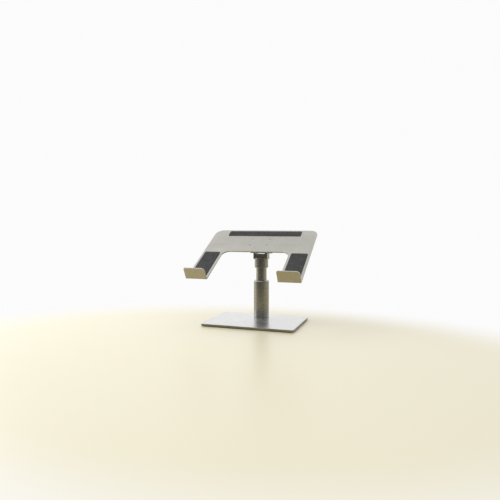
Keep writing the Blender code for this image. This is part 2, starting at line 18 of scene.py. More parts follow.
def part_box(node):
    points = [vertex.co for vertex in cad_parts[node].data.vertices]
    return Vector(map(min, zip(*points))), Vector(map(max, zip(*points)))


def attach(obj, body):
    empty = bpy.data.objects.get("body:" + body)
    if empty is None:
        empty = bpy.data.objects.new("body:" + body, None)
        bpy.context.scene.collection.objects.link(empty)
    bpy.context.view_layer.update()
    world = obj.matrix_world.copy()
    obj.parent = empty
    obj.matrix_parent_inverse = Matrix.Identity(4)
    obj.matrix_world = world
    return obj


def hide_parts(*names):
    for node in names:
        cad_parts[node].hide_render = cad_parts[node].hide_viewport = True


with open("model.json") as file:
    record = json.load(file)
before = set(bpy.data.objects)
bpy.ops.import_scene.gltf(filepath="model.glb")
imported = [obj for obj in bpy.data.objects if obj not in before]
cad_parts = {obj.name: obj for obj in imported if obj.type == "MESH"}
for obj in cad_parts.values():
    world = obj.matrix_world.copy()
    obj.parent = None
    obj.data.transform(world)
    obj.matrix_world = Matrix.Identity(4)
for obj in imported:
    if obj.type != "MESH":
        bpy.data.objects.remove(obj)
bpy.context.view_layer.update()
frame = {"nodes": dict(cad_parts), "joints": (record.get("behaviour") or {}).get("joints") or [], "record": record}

# %% [markdown]
# ## Where things are
#
# Nothing is placed by eye. The hinge axis comes from its joint, the tray's slope from the face the
# laptop rests on, and every piece's size from its own box in the frame. The tray slopes, so its
# pieces are measured and made in the tray's own axes, with +Y up the sheet and +Z square to it, and
# one matrix turns them into place.

# %% Measure the frame
joints = {joint["name"]: joint for joint in frame["joints"]}
mounts = {mount["name"]: mount for mount in frame["record"]["mounts"]}
hinge_place = Vector(joints["tilt_hinge"]["pos_m"])
_, rest_y, rest_z = mounts["laptop_rest_left"]["axis"]
slope = math.atan2(-rest_y, rest_z)
tray_axes = Matrix.Translation(hinge_place) @ Matrix.Rotation(slope, 4, "X")
hinge_axes = Matrix.Translation(hinge_place) @ Matrix.Rotation(math.pi / 2, 4, "Y")
print(f"hinge {hinge_place.z * 1000:.1f} mm up, tray sloped {math.degrees(slope):.1f} degrees")


def own_box(node, axes):
    """The lowest and highest corners of a node, measured along the given axes."""
    back = axes.inverted()
    points = [back @ vert.co for vert in frame["nodes"][node].data.vertices]
    low = Vector([min(point[i] for point in points) for i in range(3)])
    high = Vector([max(point[i] for point in points) for i in range(3)])
    return low, high


# %% [markdown]
# ## Shader groups
#
# Metal that has been handled shows the same few things whatever its colour: a fine grain, lines
# left by drawing or turning, faint smudges, brighter edges, partly worn and partly a painted
# highlight, and a little settled dust. Each is made once as a shader group with named inputs and
# outputs. A group only gives out values that change over the surface; the shader itself, with its
# plain numbers, stays in each material.

# %% Node helpers
def add(tree, kind, inputs=None, **settings):
    """A shader node; each input takes a number, a colour or another node's output."""
    node = tree.nodes.new("ShaderNode" + kind)
    for name, value in settings.items():
        setattr(node, name, value)
    for key, value in (inputs or {}).items():
        if isinstance(value, bpy.types.NodeSocket):
            tree.links.new(value, node.inputs[key])
        else:
            node.inputs[key].default_value = value
    return node


def new_group(name, inputs, outputs):
    """An empty shader group; inputs are (name, kind, default) and outputs are names of values."""
    tree = bpy.data.node_groups.new(name, "ShaderNodeTree")
    for label, kind, default in inputs:
        socket = tree.interface.new_socket(label, in_out="INPUT", socket_type="NodeSocket" + kind)
        if default is not None:
            socket.default_value = default
    for label in outputs:
        tree.interface.new_socket(label, in_out="OUTPUT", socket_type="NodeSocketFloat")
    return tree, tree.nodes.new("NodeGroupInput"), tree.nodes.new("NodeGroupOutput")


def place_group(tree, group, inputs):
    node = tree.nodes.new("ShaderNodeGroup")
    node.node_tree = group
    for key, value in inputs.items():
        if isinstance(value, bpy.types.NodeSocket):
            tree.links.new(value, node.inputs[key])
        else:
            node.inputs[key].default_value = value
    return node


def remap(tree, value, low, high, to_low, to_high):
    """A value between low and high, carried to a new range and held there."""
    spans = {"Value": value, "From Min": low, "From Max": high, "To Min": to_low, "To Max": to_high}
    return add(tree, "MapRange", spans).outputs["Result"]


def blend(tree, share, first, second, how="MIX"):
    """Two colours mixed by a share that changes over the surface."""
    colours = [(*c, 1) if isinstance(c, tuple) else c for c in (first, second)]
    inputs = {"Factor": share, "A": colours[0], "B": colours[1]}
    return add(tree, "Mix", inputs, data_type="RGBA", blend_type=how).outputs["Result"]


def scaled_sum(tree, value, factor, start):
    """start + value * factor."""
    inputs = {0: value, 1: factor, 2: start}
    return add(tree, "Math", inputs, operation="MULTIPLY_ADD").outputs[0]


# %% [markdown]
# **Grain.** Blasting leaves small pits a few tenths of a millimetre across. Two noises do it: a
# fine one for the pits and a broad one for the slow change of tone that anodising always has.

# %% Grain group
def make_grain_group():
    fields = [("Vector", "Vector", None), ("Size", "Float", 0.0004), ("Cloud", "Float", 0.03)]
    tree, given, out = new_group("blasted_grain", fields, ["Height", "Tone"])
    per_metre = add(tree, "Math", {0: 1.0, 1: given.outputs["Size"]}, operation="DIVIDE")
    pits = add(
        tree,
        "TexNoise",
        {"Vector": given.outputs["Vector"], "Scale": per_metre.outputs[0], "Detail": 2.0},
    )
    cloud_scale = add(tree, "Math", {0: 1.0, 1: given.outputs["Cloud"]}, operation="DIVIDE")
    cloud = add(
        tree,
        "TexNoise",
        {"Vector": given.outputs["Vector"], "Scale": cloud_scale.outputs[0], "Detail": 3.0},
    )
    tree.links.new(pits.outputs["Fac"], out.inputs["Height"])
    tree.links.new(cloud.outputs["Fac"], out.inputs["Tone"])
    return tree


grain_group = make_grain_group()
print("made", grain_group.name)

# %% [markdown]
# **Lines.** A drawn sheet or a turned tube carries lines that run one way. Noise on a squeezed
# vector gives them: the vector is scaled up across the lines and hardly at all along them, so each
# blob of noise is pulled out into a streak. A turned piece is scaled only along its axis, which
# makes rings.

# %% Line group
def make_line_group():
    fields = [("Vector", "Vector", None), ("Across", "Vector", None), ("Detail", "Float", 3.0)]
    tree, given, out = new_group("tool_lines", fields, ["Height", "Streaks"])
    squeezed = add(
        tree,
        "VectorMath",
        {0: given.outputs["Vector"], 1: given.outputs["Across"]},
        operation="MULTIPLY",
    )
    fine = add(
        tree,
        "TexNoise",
        {"Vector": squeezed.outputs[0], "Scale": 1.0, "Detail": given.outputs["Detail"]},
    )
    broad = add(tree, "TexNoise", {"Vector": squeezed.outputs[0], "Scale": 0.22, "Detail": 2.0})
    tree.links.new(fine.outputs["Fac"], out.inputs["Height"])
    tree.links.new(broad.outputs["Fac"], out.inputs["Streaks"])
    return tree


line_group = make_line_group()
print("made", line_group.name)

# %% [markdown]
# **Handling.** Fingers leave soft smudges a centimetre or two across, and a desk adds a few hair
# scratches. Both only change how rough the surface is, so they show where a light glances off it.

# %% Handling group
def make_handling_group():
    fields = [("Vector", "Vector", None), ("Patch", "Float", 0.018)]
    tree, given, out = new_group("handling", fields, ["Smudges", "Scratches"])
    scale = add(tree, "Math", {0: 1.0, 1: given.outputs["Patch"]}, operation="DIVIDE")
    patches = add(
        tree,
        "TexNoise",
        {
            "Vector": given.outputs["Vector"],
            "Scale": scale.outputs[0],
            "Detail": 4.0,
            "Distortion": 0.6,
        },
    )
    smudges = remap(tree, patches.outputs["Fac"], 0.48, 0.72, 0.0, 1.0)
    crossed = add(
        tree,
        "Mapping",
        {"Vector": given.outputs["Vector"], "Rotation": (0.3, 0.5, 0.7), "Scale": (30, 900, 900)},
    )
    hairs = add(tree, "TexNoise", {"Vector": crossed.outputs[0], "Scale": 1.0, "Detail": 1.0})
    scratches = remap(tree, hairs.outputs["Fac"], 0.70, 0.76, 0.0, 1.0)
    tree.links.new(smudges, out.inputs["Smudges"])
    tree.links.new(scratches, out.inputs["Scratches"])
    return tree


handling_group = make_handling_group()
print("made", handling_group.name)

# %% [markdown]
# ** Edges.** Edges are made brighter, partly as wear, where rubbing thins the anodised skin, and
# partly as a painted highlight for the light a rounded edge catches. Pointiness tells how much a
# corner sticks out, and a noise breaks the line up so that it doesn't look painted on.

# %% Edge group
def make_edge_group():
    fields = [("Vector", "Vector", None), ("Start", "Float", 0.52), ("End", "Float", 0.60)]
    tree, given, out = new_group("edge_wear_and_highlight", fields, ["Mask"])
    shape = add(tree, "NewGeometry")
    spans = {
        "Value": shape.outputs["Pointiness"],
        "From Min": given.outputs["Start"],
        "From Max": given.outputs["End"],
        "To Min": 0.0,
        "To Max": 1.0,
    }
    edges = add(tree, "MapRange", spans)
    patchy = add(tree, "TexNoise", {"Vector": given.outputs["Vector"], "Scale": 160, "Detail": 3.0})
    broken = remap(tree, patchy.outputs["Fac"], 0.30, 0.62, 0.25, 1.0)
    # brighter edges: partly wear, partly a painted highlight
    mask = add(tree, "Math", {0: edges.outputs[0], 1: broken}, operation="MULTIPLY", use_clamp=True)
    tree.links.new(mask.outputs[0], out.inputs["Mask"])
    return tree


edge_group = make_edge_group()
print("made", edge_group.name)

# %% [markdown]
# **Dust.** Dust only settles on what faces up. The normal's upward part gives where, and a fine
# speckle gives how it lies.

# %% Dust group
def make_dust_group():
    fields = [("Vector", "Vector", None), ("Amount", "Float", 0.3)]
    tree, given, out = new_group("settled_dust", fields, ["Mask"])
    shape = add(tree, "NewGeometry")
    parts = add(tree, "SeparateXYZ", {0: shape.outputs["Normal"]})
    facing_up = remap(tree, parts.outputs["Z"], 0.35, 0.95, 0.0, 1.0)
    speckle = add(tree, "TexNoise", {"Vector": given.outputs["Vector"], "Scale": 1400, "Detail": 4.0})
    specks = remap(tree, speckle.outputs["Fac"], 0.42, 0.72, 0.0, 1.0)
    drift = add(tree, "TexNoise", {"Vector": given.outputs["Vector"], "Scale": 22, "Detail": 3.0})
    drifts = remap(tree, drift.outputs["Fac"], 0.35, 0.70, 0.45, 1.0)
    lying = add(tree, "Math", {0: specks, 1: drifts}, operation="MULTIPLY")
    settled = add(tree, "Math", {0: lying.outputs[0], 1: facing_up}, operation="MULTIPLY")
    mask = add(
        tree, "Math", {0: settled.outputs[0], 1: given.outputs["Amount"]}, operation="MULTIPLY"
    )
    tree.links.new(mask.outputs[0], out.inputs["Mask"])
    return tree


dust_group = make_dust_group()
print("made", dust_group.name)

# %% [markdown]
# ** Side shade.** A ground plate is bright on its two faces; its upright sides are painted darker,
# a painted shade. The normal tells the sides from the faces, and a noise makes the change a little uneven.

# %% Side group
def make_side_group():
    tree, given, out = new_group("painted_side_shade", [("Vector", "Vector", None)], ["Mask"])
    shape = add(tree, "NewGeometry")
    parts = add(tree, "SeparateXYZ", {0: shape.outputs["Normal"]})
    upright = add(tree, "Math", {0: parts.outputs["Z"]}, operation="ABSOLUTE").outputs[0]
    patchy = add(tree, "TexNoise", {"Vector": given.outputs["Vector"], "Scale": 240, "Detail": 3.0})
    uneven = scaled_sum(tree, patchy.outputs["Fac"], 0.16, upright)
    # painted shade: upright sides get the darker tone, flat faces keep their own
    mask = remap(tree, uneven, 0.40, 0.80, 1.0, 0.0)
    tree.links.new(mask, out.inputs["Mask"])
    return tree


side_shade_group = make_side_group()
print("made", side_shade_group.name)

# %% [markdown]
# ## The finishes
#
# Every metal is built the same way from those groups, so one function makes them all. A finish
# gives its two tones, its range of roughness, how deep its grain and lines are, and which way the
# lines run. Bumps stay very shallow, a hundredth of a millimetre or so, because all of these
# surfaces feel smooth. Where dust lies the surface is a little less metallic, and that thin haze is
# what keeps the reflections in a polished base from looking black.

# %% Metal maker
PALE_DUST = (0.72, 0.71, 0.69)


def metal(
    name,
    tone,
    edge_tone,
    rough,
    grain_depth,
    line_depth,
    across,
    dust=0.0,
    smudge=0.05,
    side_shade_tone=None,
):
    """A handled metal. rough is its lowest and highest roughness; across says where lines change."""
    material = bpy.data.materials.new(name)
    material.use_nodes = True
    tree = material.node_tree
    shader = tree.nodes["Principled BSDF"]
    shader.inputs["Metallic"].default_value = 1.0
    place = add(tree, "TexCoord").outputs["Object"]
    grain = place_group(tree, grain_group, {"Vector": place, "Size": 0.0005, "Cloud": 0.035})
    lines = place_group(tree, line_group, {"Vector": place, "Across": across})
    handled = place_group(tree, handling_group, {"Vector": place})
    edges = place_group(tree, edge_group, {"Vector": place})

    darker = tuple(part * 0.93 for part in tone)
    clouds = remap(tree, grain.outputs["Tone"], 0.32, 0.68, 0.0, 1.0)
    streaks = remap(tree, lines.outputs["Streaks"], 0.35, 0.70, 0.0, 0.22)
    clouded = blend(tree, clouds, darker, tone)
    streaked = blend(tree, streaks, clouded, (0.84, 0.84, 0.84), "MULTIPLY")
    # painted shade: the upright sides are coloured darker than the faces
    if side_shade_tone:
        sides = place_group(tree, side_shade_group, {"Vector": place}).outputs["Mask"]
        streaked = blend(tree, sides, streaked, side_shade_tone)
    # edges take the brighter tone: partly wear, partly a painted highlight
    colour = blend(tree, edges.outputs["Mask"], streaked, edge_tone)

    roughness = remap(tree, lines.outputs["Streaks"], 0.25, 0.75, *rough)
    roughness = scaled_sum(tree, handled.outputs["Smudges"], smudge, roughness)
    roughness = scaled_sum(tree, handled.outputs["Scratches"], 0.05, roughness)
    if dust:
        lying = place_group(tree, dust_group, {"Vector": place, "Amount": dust}).outputs["Mask"]
        roughness = scaled_sum(tree, lying, 0.25, roughness)
        colour = blend(tree, lying, colour, PALE_DUST)
        tree.links.new(scaled_sum(tree, lying, -0.6, 1.0), shader.inputs["Metallic"])
    tree.links.new(colour, shader.inputs["Base Color"])
    tree.links.new(roughness, shader.inputs["Roughness"])

    pits = {"Strength": 1.0, "Distance": grain_depth, "Height": grain.outputs["Height"]}
    pitted = add(tree, "Bump", pits).outputs["Normal"]
    scores = {"Strength": 1.0, "Distance": line_depth, "Height": lines.outputs["Height"]}
    scored = add(tree, "Bump", {**scores, "Normal": pitted}).outputs["Normal"]
    tree.links.new(scored, shader.inputs["Normal"])
    return material


# %% [markdown]
# ** Satin aluminium** is blasted and clear anodised. On the tray the rolling lines run up the sheet
# and hardly show through the blasting. The column and collar are the same metal turned on a lathe,
# so their lines are rings, a little deeper, and the tone is a shade darker. The **bright steel** of
# the base is ground along its length and polished almost to a mirror, and its upright sides are
# painted darker, a painted shade. Screws are **zinc plated**, which is greyer and duller.

# %% Make the metals
UP_THE_SHEET = (2200.0, 60.0, 60.0)
RINGS_ABOUT_Z = (25.0, 25.0, 2600.0)
RINGS_ABOUT_X = (2600.0, 25.0, 25.0)
ALONG_THE_BASE = (18.0, 3200.0, 40.0)
SATIN_TONE = (0.49, 0.478, 0.425)
SATIN_EDGE = (0.68, 0.67, 0.63)
TURNED_TONE = (0.43, 0.435, 0.42)
TURNED_EDGE = (0.60, 0.60, 0.58)
BRIGHT_TONE = (0.575, 0.585, 0.58)
BRIGHT_EDGE = (0.72, 0.72, 0.71)
# painted shade for the base plate's upright sides
BRIGHT_SIDE_SHADE = (0.27, 0.265, 0.24)
ZINC_TONE = (0.50, 0.51, 0.52)
ZINC_EDGE = (0.66, 0.66, 0.65)

sheet_metal = metal(
    "satin_sheet", SATIN_TONE, SATIN_EDGE, (0.30, 0.37), 8e-6, 3e-6, UP_THE_SHEET, dust=0.3
)
turned_metal = metal(
    "satin_turned", TURNED_TONE, TURNED_EDGE, (0.24, 0.29), 2e-6, 4e-6, RINGS_ABOUT_Z, smudge=0.03
)
bright_steel = metal(
    "bright_base",
    BRIGHT_TONE,
    BRIGHT_EDGE,
    (0.165, 0.20),
    1e-6,
    2e-6,
    ALONG_THE_BASE,
    dust=1.1,
    smudge=0.015,
    side_shade_tone=BRIGHT_SIDE_SHADE,
)
zinc_steel = metal("zinc_plate", ZINC_TONE, ZINC_EDGE, (0.30, 0.42), 8e-6, 4e-6, RINGS_ABOUT_Z)
zinc_across = metal("zinc_across", ZINC_TONE, ZINC_EDGE, (0.30, 0.42), 8e-6, 4e-6, RINGS_ABOUT_X)
print("metals:", len([m for m in bpy.data.materials if m.use_nodes]))

# %% [markdown]
# **Nylon and silicone** are dark and matt, and what tells them apart is the sheen: nylon keeps the
# fine spark texture of its mould and a soft highlight, while silicone is chalky and holds on to
# dust. Both get their texture from the grain group.

# %% Make the plastics
DUST_TONE = (0.42, 0.40, 0.37)


def plastic(name, tone, worn_and_highlight_tone, rough, grain_size, grain_depth, dust):
    """A dark moulded material. rough is its lowest roughness, where it is handled, and its highest."""
    material = bpy.data.materials.new(name)
    material.use_nodes = True
    tree = material.node_tree
    shader = tree.nodes["Principled BSDF"]
    place = add(tree, "TexCoord").outputs["Object"]
    grain = place_group(tree, grain_group, {"Vector": place, "Size": grain_size, "Cloud": 0.02})
    handled = place_group(tree, handling_group, {"Vector": place, "Patch": 0.012})
    lying = place_group(tree, dust_group, {"Vector": place, "Amount": dust})
    edges = place_group(tree, edge_group, {"Vector": place})

    paler = tuple(part * 1.35 for part in tone)
    clouds = remap(tree, grain.outputs["Tone"], 0.3, 0.7, 0.0, 1.0)
    clouded = blend(tree, clouds, tone, paler)
    # edges take the paler tone: partly wear, partly a painted highlight
    worn_and_highlighted = blend(tree, edges.outputs["Mask"], clouded, worn_and_highlight_tone)
    dusty = blend(tree, lying.outputs["Mask"], worn_and_highlighted, DUST_TONE)
    tree.links.new(dusty, shader.inputs["Base Color"])

    handled_rough, clean_rough = rough
    roughness = remap(tree, handled.outputs["Smudges"], 0.0, 1.0, clean_rough, handled_rough)
    tree.links.new(roughness, shader.inputs["Roughness"])
    texture = {"Strength": 1.0, "Distance": grain_depth, "Height": grain.outputs["Height"]}
    tree.links.new(add(tree, "Bump", texture).outputs["Normal"], shader.inputs["Normal"])
    return material


nylon = plastic(
    "black_nylon", (0.030, 0.030, 0.032), (0.09, 0.09, 0.09), (0.40, 0.52), 0.0006, 4e-5, 0.15
)
silicone = plastic(
    "black_silicone", (0.022, 0.022, 0.024), (0.05, 0.05, 0.052), (0.62, 0.78), 0.0008, 3e-5, 0.35
)
print("plastics:", nylon.name, silicone.name)

# %% [markdown]
# ## Making shapes
#
# Three kinds of shape cover the whole stand. A **plate** is a flat outline whose corners are
# rounded, pushed up into a slab and given soft edges. A **turned** piece is half a section, spun
# about its axis. A **machined** piece is either of these, cut or joined by others. In each case
# the corners are rounded in the flat, before the third dimension, where a bevel is exact.

# %% Shape helpers
FINE = 0.00001  # points closer than this are one point
CORNER_STEPS = 10
EDGE_STEPS = 3
TURN_STEPS = 144


def rounded_face(corners, plane="XY", steps=CORNER_STEPS):
    """A flat face from (across, up, radius) corners, each rounded by its own radius."""
    bm = bmesh.new()
    up = Vector((0, 1, 0)) if plane == "XY" else Vector((0, 0, 1))
    verts = [bm.verts.new(Vector((across, 0, 0)) + up * along) for across, along, _ in corners]
    bm.faces.new(verts)
    for vert, (_, _, radius) in zip(verts, corners):
        if radius:
            bmesh.ops.bevel(
                bm,
                geom=[vert],
                offset=radius,
                offset_type="ABSOLUTE",
                segments=steps,
                profile=0.5,
                affect="VERTICES",
                material=-1,
            )
    bmesh.ops.remove_doubles(bm, verts=bm.verts, dist=2 * FINE)
    return bm


def raised(bm, thickness, edge=0.0, steps=EDGE_STEPS):
    """Pushes a flat face up into a slab and softens the edges of its top and bottom."""
    pushed = bmesh.ops.extrude_face_region(bm, geom=bm.faces[:])
    top = [item for item in pushed["geom"] if isinstance(item, bmesh.types.BMVert)]
    bmesh.ops.translate(bm, vec=(0, 0, thickness), verts=top)
    bmesh.ops.recalc_face_normals(bm, faces=bm.faces)
    if edge:
        flats = [face for face in bm.faces if abs(face.normal.z) > 0.9]
        rims = list({rim for face in flats for rim in face.edges})
        bmesh.ops.bevel(
            bm,
            geom=rims,
            offset=edge,
            offset_type="OFFSET",
            segments=steps,
            profile=0.5,
            affect="EDGES",
            material=-1,
        )
    return bm


def plate(low, high, corner, edge, steps=EDGE_STEPS):
    """A rounded slab that fills the box from low to high."""
    corners = [
        (low.x, low.y, corner),
        (high.x, low.y, corner),
        (high.x, high.y, corner),
        (low.x, high.y, corner),
    ]
    bm = raised(rounded_face(corners), high.z - low.z, edge, steps)
    bmesh.ops.translate(bm, vec=(0, 0, low.z), verts=bm.verts)
    return bm


def turned(section, steps=TURN_STEPS, corner_steps=4):
    """Half a section of (radius, height, corner radius) points, spun once about the Z axis."""
    bm = rounded_face(section, plane="XZ", steps=corner_steps)
    bmesh.ops.delete(bm, geom=bm.faces[:], context="FACES_ONLY")
    on_axis = [e for e in bm.edges if all(abs(v.co.x) < FINE for v in e.verts)]
    bmesh.ops.delete(bm, geom=on_axis, context="EDGES")
    bmesh.ops.spin(
        bm,
        geom=bm.verts[:] + bm.edges[:],
        cent=(0, 0, 0),
        axis=(0, 0, 1),
        dvec=(0, 0, 0),
        angle=2 * math.pi,
        steps=steps,
        use_merge=True,
        use_duplicate=False,
    )
    bmesh.ops.remove_doubles(bm, verts=bm.verts, dist=FINE / 10)
    bmesh.ops.recalc_face_normals(bm, faces=bm.faces)
    return bm


def bar(radius, length, steps=64):
    """A plain round or many-sided bar along Z, centred on the origin: a drill or a key."""
    bm = bmesh.new()
    bmesh.ops.create_cone(
        bm, cap_ends=True, segments=steps, radius1=radius, radius2=radius, depth=length
    )
    return bm


def moved(bm, matrix):
    bmesh.ops.transform(bm, matrix=matrix, verts=bm.verts)
    return bm


def combined(bm, others, operation):
    """The shape cut by, or joined with, each of the others, which are used up."""
    helpers = []
    for shape in [bm, *others]:
        mesh = bpy.data.meshes.new("blank")
        shape.to_mesh(mesh)
        shape.free()
        helper = bpy.data.objects.new("blank", mesh)
        bpy.context.scene.collection.objects.link(helper)
        helpers.append(helper)
    body, *tools = helpers
    for tool in tools:
        step = body.modifiers.new("machining", "BOOLEAN")
        step.operation = operation
        step.object = tool
        step.solver = "EXACT"
    bpy.context.view_layer.update()
    graph = bpy.context.evaluated_depsgraph_get()
    made = bmesh.new()
    made.from_object(body, graph)
    for helper in helpers:
        bpy.data.objects.remove(helper, do_unlink=True)
    bmesh.ops.remove_doubles(made, verts=made.verts, dist=FINE / 10)
    return made


print("shape helpers ready")

# %% [markdown]
# A finished shape becomes a piece in one place: it gets its finish and its shading, rides on its
# body, and stands for the CAD node that it refines. Weighted normals keep large flats flat beside
# their small rounded edges.

# %% Piece helper
SMOOTH_BELOW = math.radians(38)


def finish_piece(name, bm, material, slot, body, *stands_for):
    mesh = bpy.data.meshes.new(name)
    bm.to_mesh(mesh)
    bm.free()
    mesh.materials.append(material)
    mesh.shade_smooth()
    mesh.set_sharp_from_angle(angle=SMOOTH_BELOW)
    piece = bpy.data.objects.new(name, mesh)
    bpy.context.scene.collection.objects.link(piece)
    even = piece.modifiers.new("even_shading", "WEIGHTED_NORMAL")
    even.keep_sharp = True
    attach(piece, body)
    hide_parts(*stands_for)
    print(f"{name}: {len(mesh.polygons)} faces for {', '.join(stands_for)}")


# %% [markdown]
# ## The base
#
# The base is one steel plate with small rounded corners and a softened edge, lying on a silicone
# mat. Three countersunk holes under the column take the screws that pull it down. The mat is set in
# from the plate's edge, so the plate seems to float a millimetre above the desk.

# %% Base plate
BASE_CORNER = 0.006
BASE_EDGE = 0.0006
HEAD_CLEARANCE = 0.0003
OVERCUT = 0.002


def countersink(node, upward):
    """A cutter for one countersunk screw, taken from the screw's own box and facing its head."""
    low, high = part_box(node)
    middle = (low + high) / 2
    head = (high.x - low.x) / 2 + HEAD_CLEARANCE
    shank = head * 0.56
    head_depth = head * 0.55
    length = high.z - low.z + OVERCUT
    section = [
        (0, OVERCUT, 0),
        (0, -length, 0),
        (shank, -length, 0),
        (shank, -head_depth, 0),
        (head, 0, 0),
        (head, OVERCUT, 0),
    ]
    cutter = turned(section, steps=64)
    flip = Matrix.Identity(4) if upward else Matrix.Rotation(math.pi, 4, "X")
    seat = high.z if upward else low.z
    return moved(cutter, Matrix.Translation((middle.x, middle.y, seat)) @ flip)


base_low, base_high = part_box("base_plate")
slab = plate(base_low, base_high, BASE_CORNER, BASE_EDGE)
holes = [countersink(f"base_screw_{number}", upward=False) for number in (1, 2, 3)]
finish_piece(
    "base_slab",
    combined(slab, holes, "DIFFERENCE"),
    bright_steel,
    "bright_steel",
    "base",
    "base_plate",
)

# %% [markdown]
# The mat is moulded with shallow ribs so that it grips. A rib is made from the slab itself: the
# face is sliced into strips, and every second strip is set in a little and pushed out, which leaves
# the sloped sides that a moulded rib has.

# %% Ribbed mats
def ribbed_mat(low, high, corner, pitch, rib, rise, side=1, along=1, edge=0.0):
    """A mat whose ribs are part of its height: the slab is thinner by the rise, on one side."""
    floor_low, floor_high = low.copy(), high.copy()
    if side > 0:
        floor_high.z -= rise
    else:
        floor_low.z += rise
    bm = plate(floor_low, floor_high, corner, edge, steps=2)
    start, end = low[along] + corner, high[along] - corner
    count = int((end - start) / pitch)
    first = (start + end - count * pitch) / 2 + (pitch - rib) / 2
    direction = Vector((0, 0, 0))
    direction[along] = 1
    bands = [first + number * pitch for number in range(count)]
    for band in bands:
        for cut in (band, band + rib):
            everything = bm.verts[:] + bm.edges[:] + bm.faces[:]
            bmesh.ops.bisect_plane(bm, geom=everything, plane_co=direction * cut, plane_no=direction)
    strips = []
    for face in bm.faces:
        if face.normal.z * side < 0.9:
            continue
        middle = face.calc_center_median()[along]
        if any(band < middle < band + rib for band in bands):
            strips.append(face)
    bmesh.ops.inset_individual(bm, faces=strips, thickness=rib * 0.22, depth=rise, use_even_offset=True)
    return bm, count


MAT_PITCH = 0.0044
MAT_RIB = 0.0024
MAT_RISE = 0.0004

mat_low, mat_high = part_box("base_pad")
mat, rib_count = ribbed_mat(mat_low, mat_high, BASE_CORNER, MAT_PITCH, MAT_RIB, MAT_RISE, side=-1)
finish_piece("base_mat", mat, silicone, "silicone", "base", "base_pad")
print("ribs under the base:", rib_count)

# %% [markdown]
# ## The column
#
# The column is a drawn tube, faced and chamfered on a lathe, with a key groove down its bore that
# keeps the riser from turning. The collar above it has the same diameter, so only a fine shadow
# line shows where the fixed tube ends. Its rounded shoulder is the column's most visible shape.

# %% Column tube
tube_low, tube_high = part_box("column_tube")
column_radius = tube_high.x
COLUMN_BORE = 0.0165
KEY_GROOVE = (0.0044, 0.0024)
FOOT_CHAMFER = 0.0006
LIP_CHAMFER = 0.0002
DEBURR = 0.0003

column_section = [
    (COLUMN_BORE, tube_low.z, DEBURR),
    (column_radius, tube_low.z, FOOT_CHAMFER),
    (column_radius, tube_high.z, LIP_CHAMFER),
    (COLUMN_BORE, tube_high.z, DEBURR),
]
groove = bmesh.new()
bmesh.ops.create_cube(groove, size=1)
bmesh.ops.scale(groove, vec=(*KEY_GROOVE, 2 * tube_high.z), verts=groove.verts)
bmesh.ops.translate(groove, vec=(0, COLUMN_BORE, tube_high.z / 2), verts=groove.verts)
finish_piece(
    "column_body",
    combined(turned(column_section), [groove], "DIFFERENCE"),
    turned_metal,
    "satin_aluminium",
    "base",
    "column_tube",
)

# %% [markdown]
# The collar is hollow: a threaded bore below, a cone that squeezes the collet, and a close bore at
# the top for the neck. All of that is in its section, so one spin makes the inside as well.

# %% Lock collar
collar_low, collar_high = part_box("lock_collar")
neck_low, neck_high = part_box("inner_tube")
SHOULDER = 0.0042
NECK_CLEARANCE = 0.0003
COLLAR_ROOF = 0.003
MOUTH_CHAMFER = 0.0004
CONE_NARROWS = 0.0016
neck_radius = neck_high.x
collet_low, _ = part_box("clamp_collet")

collar_section = [
    (COLUMN_BORE, collar_low.z, DEBURR),
    (column_radius, collar_low.z, LIP_CHAMFER),
    (column_radius, collar_high.z, SHOULDER),
    (neck_radius + NECK_CLEARANCE, collar_high.z, MOUTH_CHAMFER),
    (neck_radius + NECK_CLEARANCE, collar_high.z - COLLAR_ROOF, 0),
    (COLUMN_BORE - CONE_NARROWS, collar_high.z - COLLAR_ROOF, 0),
    (COLUMN_BORE, collet_low.z, 0),
]
finish_piece(
    "twist_collar",
    turned(collar_section, corner_steps=10),
    turned_metal,
    "satin_aluminium",
    "twist_lock",
    "lock_collar",
)

# %% Neck tube
NECK_WALL = 0.002
neck_section = [
    (neck_radius - NECK_WALL, neck_low.z, DEBURR),
    (neck_radius, neck_low.z, DEBURR),
    (neck_radius, neck_high.z, DEBURR),
    (neck_radius - NECK_WALL, neck_high.z, DEBURR),
]
finish_piece(
    "neck_tube", turned(neck_section), turned_metal, "satin_aluminium", "riser", "inner_tube"
)

# %% [markdown]
# ## The hinge head
#
# The head is machined from bar. A round skirt slips over the neck and is held by two grub screws,
# and above it a post with a round top is slotted to make two ears. The post is an outline pushed
# sideways, so that its round top and softened edges come from the flat shape; then the skirt is
# joined on, and the slot, the socket and the bores are cut.

# %% Hinge head
head_low, head_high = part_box("hinge_head")
ear_radius = head_high.z - hinge_place.z
ear_outer = head_high.x
washer_low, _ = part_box("friction_washer_left")
ear_inner = -washer_low.x + NECK_CLEARANCE
SKIRT_WALL = 0.004
SKIRT_HEIGHT = 0.026
SKIRT_FOOT = 0.0010
SKIRT_SHOULDER = 0.0025
POST_GAP = 0.004
SLOT_CLEARANCE = 0.0014
BOLT_HOLE = 0.0043
SIDE_EDGE = 0.0007
POST_CORNER = 0.0015
skirt_radius = neck_radius + SKIRT_WALL
sideways = Matrix(((0, 0, 1, 0), (1, 0, 0, 0), (0, 1, 0, 0), (0, 0, 0, 1)))


def cross_piece(outline, half_width, edge):
    """An outline of (along Y, along Z, radius) corners, pushed out to both sides along X."""
    bm = raised(rounded_face(outline, steps=24), 2 * half_width, edge)
    bmesh.ops.translate(bm, vec=(0, 0, -half_width), verts=bm.verts)
    return moved(bm, sideways)


